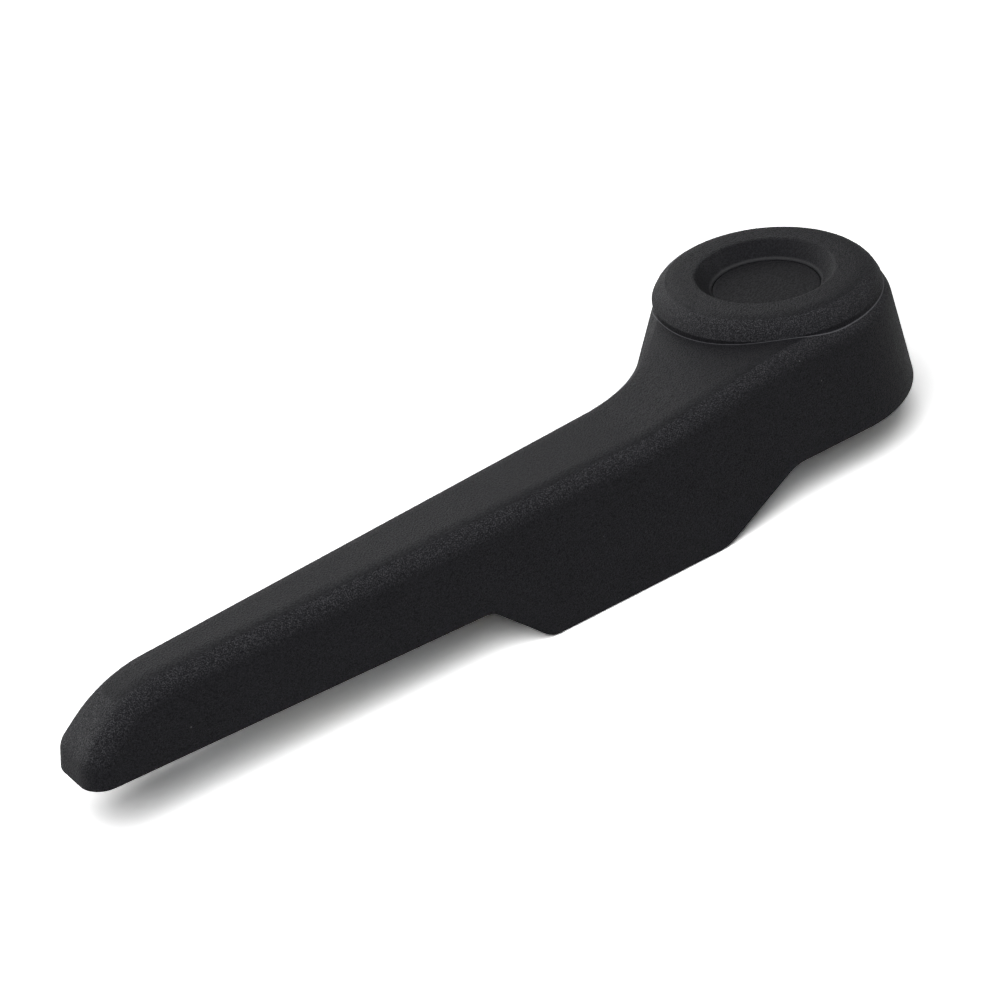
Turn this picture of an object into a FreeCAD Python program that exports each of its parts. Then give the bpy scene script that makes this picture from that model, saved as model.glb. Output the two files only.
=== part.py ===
import FreeCAD, Part

import math
import os

import Sketcher
from FreeCAD import Vector

# Seat recliner handle: a moulded lever with a round hub, lying on its back.
# The origin is on the hub's axis at the hub's back rim. +Z comes out of the hub's face,
# +X runs along the arm to its tip, and +Y points to the arm's straight wall.

# Driving sizes in millimetres, or degrees where the name says angle
SIZES = [
    # Outside of the lever
    ("hub_radius", 25.55, "hub at its back rim"),
    ("hub_back", 0.3, "how far the hub's outer wall is centred behind the axis"),
    ("hub_aside", 0.5, "how far it is centred toward the arm's straight wall"),
    ("draft_angle", 9.7, "draft of every outer wall"),
    ("face_height", 24.7, "back rim to the ring's flat face"),
    ("shoulder_drop", 3.5, "face down to the shoulder that the ring stands on"),
    ("arm_height", 17.1, "back rim to the arm's flat top"),
    ("belly_depth", 8.5, "skirt below the back rim beside the hub"),
    ("reach", 163.6, "hub axis to the arm's tip"),
    ("edge_round", 4.4, "round of the long top edges"),
    ("neck_radius", 18.0, "hollow curve from the neck into the arm"),
    ("neck_angle", 44.0, "slant of the neck's straight side that leaves the hub"),
    ("root_place", 60.0, "where the arm's root width is measured"),
    ("root_width", 23.9, "arm's width there"),
    ("end_back", 13.8, "tip back to where the arm's end width is measured"),
    ("end_width", 16.3, "arm's width there"),
    ("tip_corner", 5.0, "corner rounds of the tip seen from above"),
    # Side outline of the top
    ("ramp_start", 14.0, "where the shoulder starts to fall to the arm"),
    ("ramp_end", 45.0, "where the ramp meets the flat top"),
    ("ramp_round", 30.0, "rounds at both ends of the ramp"),
    ("brow_back", 9.0, "tip back to the corner where the top turns down"),
    ("brow_round", 22.0, "round of that corner"),
    ("brow_angle", 50.0, "slope of the top past that corner"),
    # Side outline of the back rim
    ("belly_start", 34.8, "hub side of the belly's flat"),
    ("belly_end", 74.3, "tip side of the belly's flat"),
    ("hub_ramp_top", 16.6, "where the rim leaves the hub's rim"),
    ("tip_ramp_top", 84.5, "where the belly's steep end meets the arm's rim"),
    ("rim_height", 0.8, "arm's rim above the hub's rim at that place"),
    ("tip_rim_height", 3.3, "arm's rim above the hub's rim at the tip"),
    ("rim_round", 10.0, "rounds of the rim's outline on the hub side"),
    ("heel_round", 4.5, "rounds of the rim's outline on the tip side"),
    ("lip_round", 0.5, "round of the rim's outer edge"),
    # Ring and dish on the hub's face
    ("ring_round", 4.8, "round of the ring's upper corner"),
    ("ring_side", 3.5, "face down to the foot of the ring's sloped side"),
    ("dish_round", 0.9, "round of the dish's rim"),
    ("dish_depth", 3.2, "dish below the face"),
    # Hollow inside
    ("wall", 2.8, "wall of the moulding"),
    ("hub_ceiling_drop", 7.2, "face down to the hub's inner ceiling"),
    ("inner_round", 0.8, "round inside the long top edges"),
    ("coring_drop", 3.4, "face down to the top of the hollow under the ring"),
    ("rib_wall", 1.6, "ribs"),
    ("rib_pitch", 13.0, "zigzag ribs along the arm"),
    ("rib_start", 25.0, "first zigzag rib"),
    ("zigzags", 6, "pairs of zigzag ribs"),
    ("hub_ribs", 6, "ribs round the tower"),
    ("hub_rib_reach", 38.0, "hub axis to the end of the rib that meets the zigzag"),
    ("tower_radius", 10.2, "tower in the hub"),
    ("tower_end", 10.8, "back rim to the tower's end"),
    ("boss_radius", 3.2, "screw bosses"),
    ("boss_angle", 120.0, "angle of the two screws in the hub from the arm"),
    ("first_screw", 48.0, "hub axis to the first screw in the arm"),
    ("last_screw_back", 45.8, "tip back to the last screw in the arm"),
    # Steel plate
    ("plate_height", 5.0, "back rim to the plate's underside"),
    ("plate_thickness", 1.2, "steel sheet"),
    ("plate_gap", 1.7, "plate's edge to the moulding's wall"),
    ("plate_back", 13.8, "tip back to the plate's end"),
    ("plate_corner", 3.0, "corners of the plate's end"),
    ("arm_relief_radius", 2.4, "lightening holes along the arm"),
    ("arm_reliefs", 2, "lightening holes between two screws of the arm"),
    ("window_gap", 0.5, "gap round the clip's tab in its window"),
    # Sleeve for the spindle
    ("sleeve_radius", 7.0, "sleeve above its collar"),
    ("collar_radius", 8.6, "collar under the plate"),
    ("collar_thickness", 1.5, "collar's height"),
    ("sleeve_foot", 1.5, "sleeve's mouth below the back rim"),
    ("sleeve_gap", 0.4, "sleeve's upper end to the legs of the cap"),
    ("bore_radius", 5.5, "round bore for the spindle"),
    ("spline_radius", 5.0, "tips of the serrations"),
    ("spline_depth", 0.45, "depth of the serrations"),
    ("splines", 24, "serrations round the bore"),
    ("mouth_chamfer", 0.6, "lead-in of the bore"),
    # Spring clip
    ("clip_height", 8.0, "back rim to the clip's underside"),
    ("clip_thickness", 1.2, "spring steel"),
    ("clip_width", 1.6, "width of the clip's legs"),
    ("clip_inside", 5.7, "hub axis to the legs' inner edges"),
    ("clip_bite", 1.0, "how far the nibs reach in from the legs"),
    ("nib_length", 3.6, "length of a nib along the leg"),
    ("clip_back", 4.5, "hub axis to the middle of the clip's bend"),
    ("clip_front", 6.5, "hub axis to the legs' ends"),
    ("bend_round", 5.0, "outer rounds of the clip's closed end"),
    ("clip_travel", 5.0, "way from locked to free"),
    ("tab_width", 4.0, "tab that pulls the clip"),
    ("tab_foot", 1.2, "back rim to the tab's end"),
    # Cap in the dish
    ("cap_thickness", 1.6, "cap's disc"),
    ("cap_round", 0.4, "round of the disc's edge"),
    ("cap_seat_radius", 8.2, "bore that the cap's legs go into"),
    ("leg_length", 4.0, "cap's legs"),
    ("leg_wall", 1.1, "thickness of the cap's legs"),
    ("leg_slot", 3.0, "slots between the cap's legs"),
    # Screws
    ("screw_radius", 1.45, "shank of the plate screws"),
    ("screw_length", 8.0, "shank length"),
    ("head_radius", 2.9, "pan head"),
    ("head_height", 1.9, "pan head"),
    ("head_round", 1.2, "round of the head's edge"),
    ("hole_radius", 1.8, "screw holes in the plate"),
    # Clearances and the overrun of cuts
    ("slip", 0.1, "gap round the cap, the sleeve and the clip"),
    ("thread_gap", 0.05, "gap round the screws in their bosses"),
    ("overrun", 5.0, "how far a cut runs past the solid"),
]

# Radii in the hub as shares of its radius at the back rim
HUB_SHARES = {
    "ring_foot": 0.844,
    "ring": 0.770,
    "dish": 0.516,
    "floor": 0.401,
    "coring_outer": 0.708,
    "coring_inner": 0.521,
    "screw_circle": 0.584,
    "relief": 0.163,
}

# Shares: how steep a face may be to count as a wall or a top, and the form of ribs and splines
UPRIGHT_SHARE = 0.5
WALL_LEAN_SHARE = 0.3
TOP_LEAN_SHARE = 0.5
RIB_SLANT_SHARE = 1.2
RIB_PEAK_SHARE = 1.6
SPLINE_WIDTH_SHARE = 0.75

FULL_TURN_ANGLE = 360

doc = FreeCAD.newDocument("seat_recliner_handle")
sheet = doc.addObject("Spreadsheet::Sheet", "sizes")


class Size:
    """A size that knows both its value and its formula in the sheet's names."""

    def __init__(self, value, text):
        self.value = value
        self.text = text

    def __add__(self, other):
        other = as_size(other)
        return Size(self.value + other.value, f"({self.text} + {other.text})")

    def __sub__(self, other):
        other = as_size(other)
        return Size(self.value - other.value, f"({self.text} - {other.text})")

    def __mul__(self, other):
        other = as_size(other)
        return Size(self.value * other.value, f"({self.text} * {other.text})")

    def __truediv__(self, other):
        other = as_size(other)
        return Size(self.value / other.value, f"({self.text} / {other.text})")

    def __neg__(self):
        return Size(-self.value, f"(-{self.text})")


def as_size(number):
    return number if isinstance(number, Size) else Size(number, repr(number))


def fill_sheet():
    """Writes one row per size and returns the sizes by name."""
    named = {}
    for row, (name, value, meaning) in enumerate(SIZES, start=1):
        sheet.set(f"A{row}", name)
        sheet.set(f"B{row}", str(value))
        sheet.set(f"C{row}", meaning)
        sheet.setAlias(f"B{row}", name)
        named[name] = Size(value, f"sizes.{name}")
    doc.recompute()
    return named


s = fill_sheet()
ZERO = as_size(0)


def hub_radius(name):
    """A radius in the hub that keeps its share of the hub's own."""
    return s["hub_radius"] * HUB_SHARES[name]


def near_wall():
    """Hub axis to the arm's straight wall, which touches the hub."""
    return s["hub_radius"] + s["hub_aside"]


def end_place():
    """Where the arm's end width is measured."""
    return s["reach"] - s["end_back"]


def dish_floor():
    """Height of the dish's floor, the top of the cap."""
    return s["face_height"] - s["dish_depth"]


def leg_foot():
    """Height of the lower ends of the cap's legs."""
    return dish_floor() - s["cap_thickness"] - s["leg_length"]


def sleeve_top():
    """Height of the sleeve's upper end, just short of the cap's legs."""
    return leg_foot() - s["sleeve_gap"]


def bind(thing, prop, size):
    """Ties a property of an object to the sheet."""
    thing.setExpression(prop, as_size(size).text)


def origin_part(body, role):
    """One of a body's own base planes or axes."""
    for feature in body.Origin.OriginFeatures:
        if feature.Role == role:
            return feature
    raise RuntimeError(f"no {role} in {body.Label}")


def new_body(name):
    body = doc.addObject("PartDesign::Body", name)
    body.Label = name
    return body


def new_sketch(body, name, plane="XY_Plane", height=ZERO):
    """A sketch on one of the body's base planes, raised by height."""
    sketch = body.newObject("Sketcher::SketchObject", name)
    sketch.AttachmentSupport = [(origin_part(body, plane), "")]
    sketch.MapMode = "FlatFace"
    bind(sketch, "AttachmentOffset.Base.z", height)
    return sketch


def dimension(sketch, kind, *what):
    """A dimension whose value, the last item, is tied to the sheet."""
    *places, size = what
    number = sketch.addConstraint(Sketcher.Constraint(kind, *places, size.value))
    sketch.setExpression(f"Constraints[{number}]", size.text)


def fixed_point(sketch, across, up):
    """A helper point held at two sizes from the sketch's origin."""
    point = sketch.addGeometry(Part.Point(Vector(across.value, up.value, 0)), True)
    dimension(sketch, "DistanceX", -1, 1, point, 1, across)
    dimension(sketch, "DistanceY", -1, 1, point, 1, up)
    return point


def circle(sketch, across, up, radius):
    """A circle by its centre and radius."""
    middle = Vector(across.value, up.value, 0)
    ring = sketch.addGeometry(Part.Circle(middle, Vector(0, 0, 1), radius.value))
    if across is ZERO and up is ZERO:
        sketch.addConstraint(Sketcher.Constraint("Coincident", ring, 3, -1, 1))
    else:
        dimension(sketch, "DistanceX", -1, 1, ring, 3, across)
        dimension(sketch, "DistanceY", -1, 1, ring, 3, up)
    dimension(sketch, "Radius", ring, radius)
    return ring


def loop(sketch, corners):
    """A closed outline through corners (across, up, round), each rounded by a tangent arc.

    Each straight side is held by two fixed points at its corners, and each arc by its
    radius and by touching the sides before and after it.
    """
    points = [Vector(across.value, up.value, 0) for across, up, _ in corners]
    rounds = [radius for _, _, radius in corners]
    count = len(corners)
    ins = []
    outs = []
    for i, corner in enumerate(points):
        before = (points[i - 1] - corner).normalize()
        after = (points[(i + 1) % count] - corner).normalize()
        radius = rounds[i].value if rounds[i] is not ZERO else 0
        cut = radius / math.tan(before.getAngle(after) / 2) if radius else 0
        ins.append(corner + before * cut)
        outs.append(corner + after * cut)
    sides = []
    for i in range(count):
        segment = Part.LineSegment(outs[i], ins[(i + 1) % count])
        sides.append(sketch.addGeometry(segment))
    marks = [None if rounds[i] is ZERO else fixed_point(sketch, *corners[i][:2])
             for i in range(count)]
    for i in range(count):
        last, here = sides[i - 1], sides[i]
        if rounds[i] is ZERO:
            sketch.addConstraint(Sketcher.Constraint("Coincident", last, 2, here, 1))
            dimension(sketch, "DistanceX", -1, 1, here, 1, corners[i][0])
            dimension(sketch, "DistanceY", -1, 1, here, 1, corners[i][1])
            continue
        before = (points[i - 1] - points[i]).normalize()
        after = (points[(i + 1) % count] - points[i]).normalize()
        inward = (before + after).normalize()
        half = before.getAngle(after) / 2
        centre = points[i] + inward * (rounds[i].value / math.sin(half))
        middle = centre - inward * rounds[i].value
        arc = sketch.addGeometry(Part.Arc(ins[i], middle, outs[i]))
        turns_left = before.cross(after).z < 0
        first, second = (1, 2) if turns_left else (2, 1)
        sketch.addConstraint(Sketcher.Constraint("Tangent", last, 2, arc, first))
        sketch.addConstraint(Sketcher.Constraint("Tangent", arc, second, here, 1))
        dimension(sketch, "Radius", arc, rounds[i])
        sketch.addConstraint(Sketcher.Constraint("PointOnObject", marks[i], 1, last))
        sketch.addConstraint(Sketcher.Constraint("PointOnObject", marks[i], 1, here))


def pad(body, sketch, length):
    feature = body.newObject("PartDesign::Pad", f"{sketch.Name}_pad")
    feature.Profile = sketch
    bind(feature, "Length", length)
    doc.recompute()
    return feature


def pocket(body, sketch, length=None, up=False, both=False):
    """Cuts a sketch's outline away: down, up or both ways, to a length or through all."""
    before = body.Shape.Volume
    feature = body.newObject("PartDesign::Pocket", f"{sketch.Name}_cut")
    feature.Profile = sketch
    if both:
        feature.SideType = "Symmetric"
    if length is None:
        feature.Type = "ThroughAll"
    else:
        bind(feature, "Length", length)
    feature.Reversed = up
    doc.recompute()
    if not body.Shape.Volume < before:
        raise RuntimeError(f"{feature.Name} cuts nothing")
    return feature


def spin(body, sketch, cut=False):
    """Turns a profile in the XZ plane round the Z axis, to add or to cut."""
    kind = "Groove" if cut else "Revolution"
    feature = body.newObject(f"PartDesign::{kind}", f"{sketch.Name}_turn")
    feature.Profile = sketch
    feature.ReferenceAxis = (origin_part(body, "Z_Axis"), [""])
    doc.recompute()
    return feature


def side_faces(feature):
    """Names of the upright faces of a straight pad."""
    names = []
    for number, face in enumerate(feature.Shape.Faces, start=1):
        u0, u1, v0, v1 = face.ParameterRange
        if abs(face.normalAt((u0 + u1) / 2, (v0 + v1) / 2).z) < UPRIGHT_SHARE:
            names.append(f"Face{number}")
    return names


def lean_walls(body, feature):
    """Gives every wall the draft, turning about the plane of the back rim."""
    draft = body.newObject("PartDesign::Draft", f"{feature.Name}_draft")
    draft.Base = (feature, side_faces(feature))
    draft.NeutralPlane = (origin_part(body, "XY_Plane"), [""])
    bind(draft, "Angle", s["draft_angle"])
    doc.recompute()
    return draft


def round_edges(body, radius, wanted, name):
    """Fillets the edges of the body's shape so far that wanted(edge) picks."""
    base = body.Tip
    shape = base.Shape
    names = [f"Edge{n}" for n, edge in enumerate(shape.Edges, start=1) if wanted(shape, edge)]
    if not names:
        raise RuntimeError(f"{name} finds no edge")
    fillet = body.newObject("PartDesign::Fillet", name)
    fillet.Base = (base, names)
    bind(fillet, "Radius", radius)
    doc.recompute()
    return fillet


def arm_line(place, inset):
    """The arm's far side at a place along the arm, as two points on a straight line."""
    if place == "root":
        return s["root_place"], near_wall() - s["root_width"] + inset
    return end_place(), near_wall() - s["end_width"] + inset


def plan_outline(sketch, inset, reach, corner):
    """The lever's outline seen from above, drawn in by inset.

    A round hub, a straight near side that touches it, a slanted far side, and a neck that
    leaves the hub along a straight slant and curves into the far side.
    """
    hub = s["hub_radius"] - inset
    neck = s["neck_radius"] + inset
    side = near_wall() - inset
    middle = Vector(-s["hub_back"].value, s["hub_aside"].value, 0)
    (x1, y1), (x2, y2) = arm_line("root", inset), arm_line("end", inset)
    start = Vector(x1.value, y1.value, 0)
    along = (Vector(x2.value, y2.value, 0) - start).normalize()
    outward = Vector(along.y, -along.x, 0)
    slant = math.radians(s["neck_angle"].value)
    slanted = Vector(math.cos(slant), math.sin(slant), 0)
    clear = Vector(slanted.y, -slanted.x, 0)
    # The neck's centre lies one neck radius off both the far side and the slant
    offset = start + outward * neck.value - middle - clear * (hub.value + neck.value)
    slide = -offset.dot(clear) / along.dot(clear)
    neck_centre = start + outward * neck.value + along * slide
    neck_far = neck_centre - outward * neck.value
    neck_slant = neck_centre - clear * neck.value
    hub_touch = middle + clear * hub.value
    round_value = corner.value
    tip = reach.value
    # Far corner of the tip: its centre is one round in from the end and from the far side
    far_mid_x = tip - round_value
    on_line = start + along * ((far_mid_x - start.x) / along.x)
    far_mid = Vector(far_mid_x, on_line.y + round_value / along.x, 0)
    far_touch = far_mid + outward * round_value
    near_mid = Vector(tip - round_value, side.value - round_value, 0)
    up = Vector(0, 0, 1)
    angle = math.atan2

    far_side = sketch.addGeometry(Part.LineSegment(neck_far, far_touch))
    far_corner = sketch.addGeometry(Part.ArcOfCircle(
        Part.Circle(far_mid, up, round_value), angle(outward.y, outward.x), 0))
    tip_end = sketch.addGeometry(Part.LineSegment(
        Vector(tip, far_mid.y, 0), Vector(tip, near_mid.y, 0)))
    near_corner = sketch.addGeometry(Part.ArcOfCircle(
        Part.Circle(near_mid, up, round_value), 0, math.pi / 2))
    near_side = sketch.addGeometry(Part.LineSegment(
        Vector(near_mid.x, side.value, 0), Vector(middle.x, side.value, 0)))
    hub_arc = sketch.addGeometry(Part.ArcOfCircle(
        Part.Circle(middle, up, hub.value), math.pi / 2, angle(clear.y, clear.x)))
    away = neck_far - neck_centre
    home = neck_slant - neck_centre
    neck_arc = sketch.addGeometry(Part.ArcOfCircle(
        Part.Circle(neck_centre, up, neck.value), angle(away.y, away.x), angle(home.y, home.x)))
    neck_side = sketch.addGeometry(Part.LineSegment(hub_touch, neck_slant))

    rule = Sketcher.Constraint
    sketch.addConstraint([
        rule("Tangent", far_side, 2, far_corner, 1),
        rule("Tangent", far_corner, 2, tip_end, 1),
        rule("Tangent", tip_end, 2, near_corner, 1),
        rule("Tangent", near_corner, 2, near_side, 1),
        rule("Tangent", near_side, 2, hub_arc, 1),
        rule("Tangent", hub_arc, 2, neck_side, 1),
        rule("Tangent", neck_side, 2, neck_arc, 2),
        rule("Tangent", neck_arc, 1, far_side, 1),
        rule("Vertical", tip_end),
        rule("Horizontal", near_side),
    ])
    dimension(sketch, "DistanceX", hub_arc, 3, -1, 1, s["hub_back"])
    dimension(sketch, "DistanceY", -1, 1, hub_arc, 3, s["hub_aside"])
    dimension(sketch, "Radius", hub_arc, hub)
    dimension(sketch, "Radius", neck_arc, neck)
    slope = sketch.addConstraint(rule("Angle", neck_side, slant))
    sketch.setExpression(f"Constraints[{slope}]", s["neck_angle"].text)
    dimension(sketch, "Radius", far_corner, corner)
    dimension(sketch, "Radius", near_corner, corner)
    dimension(sketch, "DistanceX", -1, 1, tip_end, 1, reach)
    for across, height in (arm_line("root", inset), arm_line("end", inset)):
        point = fixed_point(sketch, across, height)
        sketch.addConstraint(rule("PointOnObject", point, 1, far_side))


def lever_block(body, inset, shoulder, corner):
    """The lever's drafted block, drawn in by inset, with its top cut to the side outline."""
    name = body.Name
    below = s["belly_depth"] + inset
    plan = new_sketch(body, f"{name}_plan", height=-below)
    plan_outline(plan, inset, s["reach"] - inset, corner)
    block = pad(body, plan, below + s["face_height"])
    lean_walls(body, block)
    left = -s["hub_radius"] - s["overrun"]
    above = s["face_height"] + s["overrun"]
    flat = s["arm_height"] - inset
    fall = math.radians(s["brow_angle"].value)
    brow = s["reach"] - s["brow_back"] - inset * Size(math.tan(fall / 2), "tan(sizes.brow_angle / 2)")
    right = s["reach"] + s["overrun"]
    nose = flat - (right - brow) * Size(math.tan(fall), "tan(sizes.brow_angle)")
    side = new_sketch(body, f"{name}_side", "XZ_Plane")
    loop(side, [
        (left, shoulder, ZERO),
        (s["ramp_start"], shoulder, s["ramp_round"]),
        (s["ramp_end"], flat, s["ramp_round"]),
        (brow, flat, s["brow_round"] - inset),
        (right, nose, ZERO),
        (right, above, ZERO),
        (left, above, ZERO),
    ])
    pocket(body, side, both=True)
    return body


def cut_rim(body):
    """Cuts the back rim to its side outline: level hub, deep belly, high arm."""
    left = -s["hub_radius"] - s["overrun"]
    right = s["reach"] + s["overrun"]
    below = -s["belly_depth"] - s["overrun"]
    belly = -s["belly_depth"]
    rim = new_sketch(body, "rim_side", "XZ_Plane")
    loop(rim, [
        (left, ZERO, ZERO),
        (left, below, ZERO),
        (right, below, ZERO),
        (right, s["tip_rim_height"], ZERO),
        (s["tip_ramp_top"], s["rim_height"], s["heel_round"]),
        (s["belly_end"], belly, s["heel_round"]),
        (s["belly_start"], belly, s["rim_round"]),
        (s["hub_ramp_top"], ZERO, s["rim_round"]),
    ])
    pocket(body, rim, both=True)


def leans(shape, edge):
    """Upward lean of the two faces that meet at an edge, the smaller first."""
    middle = edge.valueAt((edge.FirstParameter + edge.LastParameter) / 2)
    lean = []
    for face in shape.ancestorsOfType(edge, Part.Face):
        lean.append(face.normalAt(*face.Surface.parameter(middle)).z)
    return min(lean), max(lean)


def is_top_edge(shape, edge):
    """Picks the edges where the top meets a wall."""
    low, high = leans(shape, edge)
    return 0 < low < WALL_LEAN_SHARE and high > TOP_LEAN_SHARE


def is_lip_edge(shape, edge):
    """Picks the edges where an outer wall meets the back rim."""
    low, high = leans(shape, edge)
    return low < -TOP_LEAN_SHARE and 0 < high < WALL_LEAN_SHARE


def is_dish_edge(shape, edge):
    """Picks the dish's rim: level with the face, and as wide as the dish."""
    slip = s["slip"].value
    box = edge.BoundBox
    level = abs(box.ZMin - s["face_height"].value) + abs(box.ZMax - s["face_height"].value)
    return level < slip and abs(box.XLength - hub_radius("dish").value * 2) < slip


def lever_form():
    """The outside of the lever, solid: block, long edges, back rim, ring, dish."""
    body = new_body("lever_form")
    lever_block(body, ZERO, s["face_height"] - s["shoulder_drop"], s["tip_corner"])
    round_edges(body, s["edge_round"], is_top_edge, "long_edges")
    cut_rim(body)
    round_edges(body, s["lip_round"], is_lip_edge, "lip")
    sunk = s["arm_height"] - s["wall"]
    ring = new_sketch(body, "ring", "XZ_Plane")
    loop(ring, [
        (ZERO, sunk, ZERO),
        (hub_radius("ring_foot"), sunk, ZERO),
        (hub_radius("ring_foot"), s["face_height"] - s["ring_side"], ZERO),
        (hub_radius("ring"), s["face_height"], s["ring_round"]),
        (ZERO, s["face_height"], ZERO),
    ])
    spin(body, ring)
    seat = dish_floor() - s["cap_thickness"]
    above = s["face_height"] + s["overrun"]
    dish = new_sketch(body, "dish", "XZ_Plane")
    loop(dish, [
        (ZERO, sleeve_top(), ZERO),
        (s["cap_seat_radius"], sleeve_top(), ZERO),
        (s["cap_seat_radius"], seat, ZERO),
        (hub_radius("floor"), seat, ZERO),
        (hub_radius("floor"), dish_floor(), ZERO),
        (hub_radius("dish"), s["face_height"], ZERO),
        (hub_radius("dish"), above, ZERO),
        (ZERO, above, ZERO),
    ])
    spin(body, dish, cut=True)
    round_edges(body, s["dish_round"], is_dish_edge, "dish_rim")
    return body


def arm_middle(place):
    """Half way across the arm at a distance from the hub's axis."""
    run = end_place() - s["root_place"]
    slope = (s["end_width"] - s["root_width"]) / run
    width = s["root_width"] + slope * (place - s["root_place"])
    return near_wall() - width / 2


def screw_places():
    """Where the plate screws stand: two in the hub, three along the arm."""
    angle = math.radians(s["boss_angle"].value)
    across = hub_radius("screw_circle") * Size(math.cos(angle), "cos(sizes.boss_angle)")
    aside = hub_radius("screw_circle") * Size(math.sin(angle), "sin(sizes.boss_angle)")
    last = s["reach"] - s["last_screw_back"]
    middle = (s["first_screw"] + last) / 2
    places = [(across, aside), (across, -aside)]
    for place in (s["first_screw"], middle, last):
        places.append((place, arm_middle(place)))
    return places


def strip(sketch, start, end, half):
    """A bar along the sketch's X axis."""
    loop(sketch, [(start, -half, ZERO), (end, -half, ZERO), (end, half, ZERO), (start, half, ZERO)])


def repeat(body, feature, kind, axis, count, span):
    """Repeats a feature evenly: round an axis or along one."""
    pattern = body.newObject(f"PartDesign::{kind}", f"{feature.Name}_{kind}")
    pattern.Originals = [feature]
    if kind == "PolarPattern":
        pattern.Axis = (origin_part(body, axis), [""])
        pattern.Angle = FULL_TURN_ANGLE
    else:
        pattern.Direction = (origin_part(body, axis), [""])
        bind(pattern, "Length", span)
    bind(pattern, "Occurrences", count)
    body.Tip = pattern
    doc.recompute()
    return pattern


def lever_core():
    """The hollow of the lever as one solid, with slots that leave the ribs, tower and bosses."""
    body = new_body("lever_core")
    lever_block(body, s["wall"], s["face_height"] - s["hub_ceiling_drop"],
                s["tip_corner"] - s["wall"])
    round_edges(body, s["inner_round"], is_top_edge, "inner_edges")
    coring = new_sketch(body, "coring", "XZ_Plane")
    top = s["face_height"] - s["coring_drop"]
    loop(coring, [
        (hub_radius("coring_inner"), s["tower_end"], ZERO),
        (hub_radius("coring_outer"), s["tower_end"], ZERO),
        (hub_radius("coring_outer"), top, s["inner_round"]),
        (hub_radius("coring_inner"), top, s["inner_round"]),
    ])
    spin(body, coring)
    tower = new_sketch(body, "tower", height=s["tower_end"])
    circle(tower, ZERO, ZERO, s["tower_radius"])
    circle(tower, ZERO, ZERO, s["sleeve_radius"] + s["slip"])
    pocket(body, tower, up=True)
    half = s["rib_wall"] / 2
    hub_rib = new_sketch(body, "hub_rib", height=s["tower_end"])
    strip(hub_rib, s["tower_radius"] - half, s["hub_rib_reach"], half)
    slot = pocket(body, hub_rib, up=True)
    repeat(body, slot, "PolarPattern", "Z_Axis", s["hub_ribs"], None)
    top = s["plate_height"] + s["plate_thickness"]
    near = near_wall()
    far = arm_line("root", ZERO)[1] - s["wall"]
    first, pitch = s["rib_start"], s["rib_pitch"]
    peak, last = first + pitch, first + pitch * 2
    zigzag = new_sketch(body, "zigzag", height=top)
    slant = s["rib_wall"] * RIB_SLANT_SHARE
    loop(zigzag, [
        (first, near, ZERO),
        (peak, far, ZERO),
        (last, near, ZERO),
        (last + slant, near, ZERO),
        (peak, far - slant * RIB_PEAK_SHARE, ZERO),
        (first - slant, near, ZERO),
    ])
    slot = pocket(body, zigzag, up=True)
    span = pitch * 2 * (s["zigzags"] - 1)
    repeat(body, slot, "LinearPattern", "X_Axis", s["zigzags"], span)
    bosses = new_sketch(body, "bosses", height=top)
    for across, aside in screw_places():
        circle(bosses, across, aside, s["boss_radius"])
    pocket(body, bosses, up=True)
    pilots = new_sketch(body, "pilots", height=top)
    for across, aside in screw_places():
        circle(pilots, across, aside, s["screw_radius"] + s["thread_gap"])
    pad(body, pilots, s["screw_length"])
    return body


def lever_shell():
    """The one-piece moulding: the outside less the hollow."""
    shell = doc.addObject("Part::Cut", "lever_shell")
    shell.Label = "lever_shell"
    shell.Base = lever_form()
    shell.Tool = lever_core()
    shell.Refine = True
    return shell


def plate_inset():
    """How far the plate's edge lies inside the lever's outline."""
    return s["wall"] + s["plate_gap"]


def core_plate():
    """The steel plate that carries the sleeve and spreads its load along the arm."""
    body = new_body("core_plate")
    plan = new_sketch(body, "plate_plan", height=s["plate_height"])
    plan_outline(plan, plate_inset(), s["reach"] - s["plate_back"], s["plate_corner"])
    pad(body, plan, s["plate_thickness"])
    top = s["plate_height"] + s["plate_thickness"]
    holes = new_sketch(body, "plate_holes", height=top)
    circle(holes, ZERO, ZERO, s["sleeve_radius"] + s["slip"])
    for across, aside in screw_places():
        circle(holes, across, aside, s["hole_radius"])
    half = (s["reach"] - s["last_screw_back"] - s["first_screw"]) / 2
    for start in (s["first_screw"], s["first_screw"] + half):
        for number in range(1, int(s["arm_reliefs"].value) + 1):
            place = start + half / (s["arm_reliefs"] + 1) * number
            circle(holes, place, arm_middle(place), s["arm_relief_radius"])
    relief = hub_radius("relief")
    angle = math.radians(s["boss_angle"].value / 2)
    across = hub_radius("screw_circle") * Size(math.cos(angle), "cos(sizes.boss_angle / 2)")
    aside = hub_radius("screw_circle") * Size(math.sin(angle), "sin(sizes.boss_angle / 2)")
    circle(holes, hub_radius("screw_circle"), ZERO, relief)
    circle(holes, across, aside, relief)
    circle(holes, across, -aside, relief)
    pocket(body, holes)
    window = new_sketch(body, "tab_window", height=top)
    back = clip_back_outside()
    half = s["tab_width"] / 2 + s["window_gap"]
    strip(window, -back - s["clip_travel"] - s["window_gap"],
          -back + s["clip_width"] + s["window_gap"], half)
    pocket(body, window)
    return body


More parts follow.
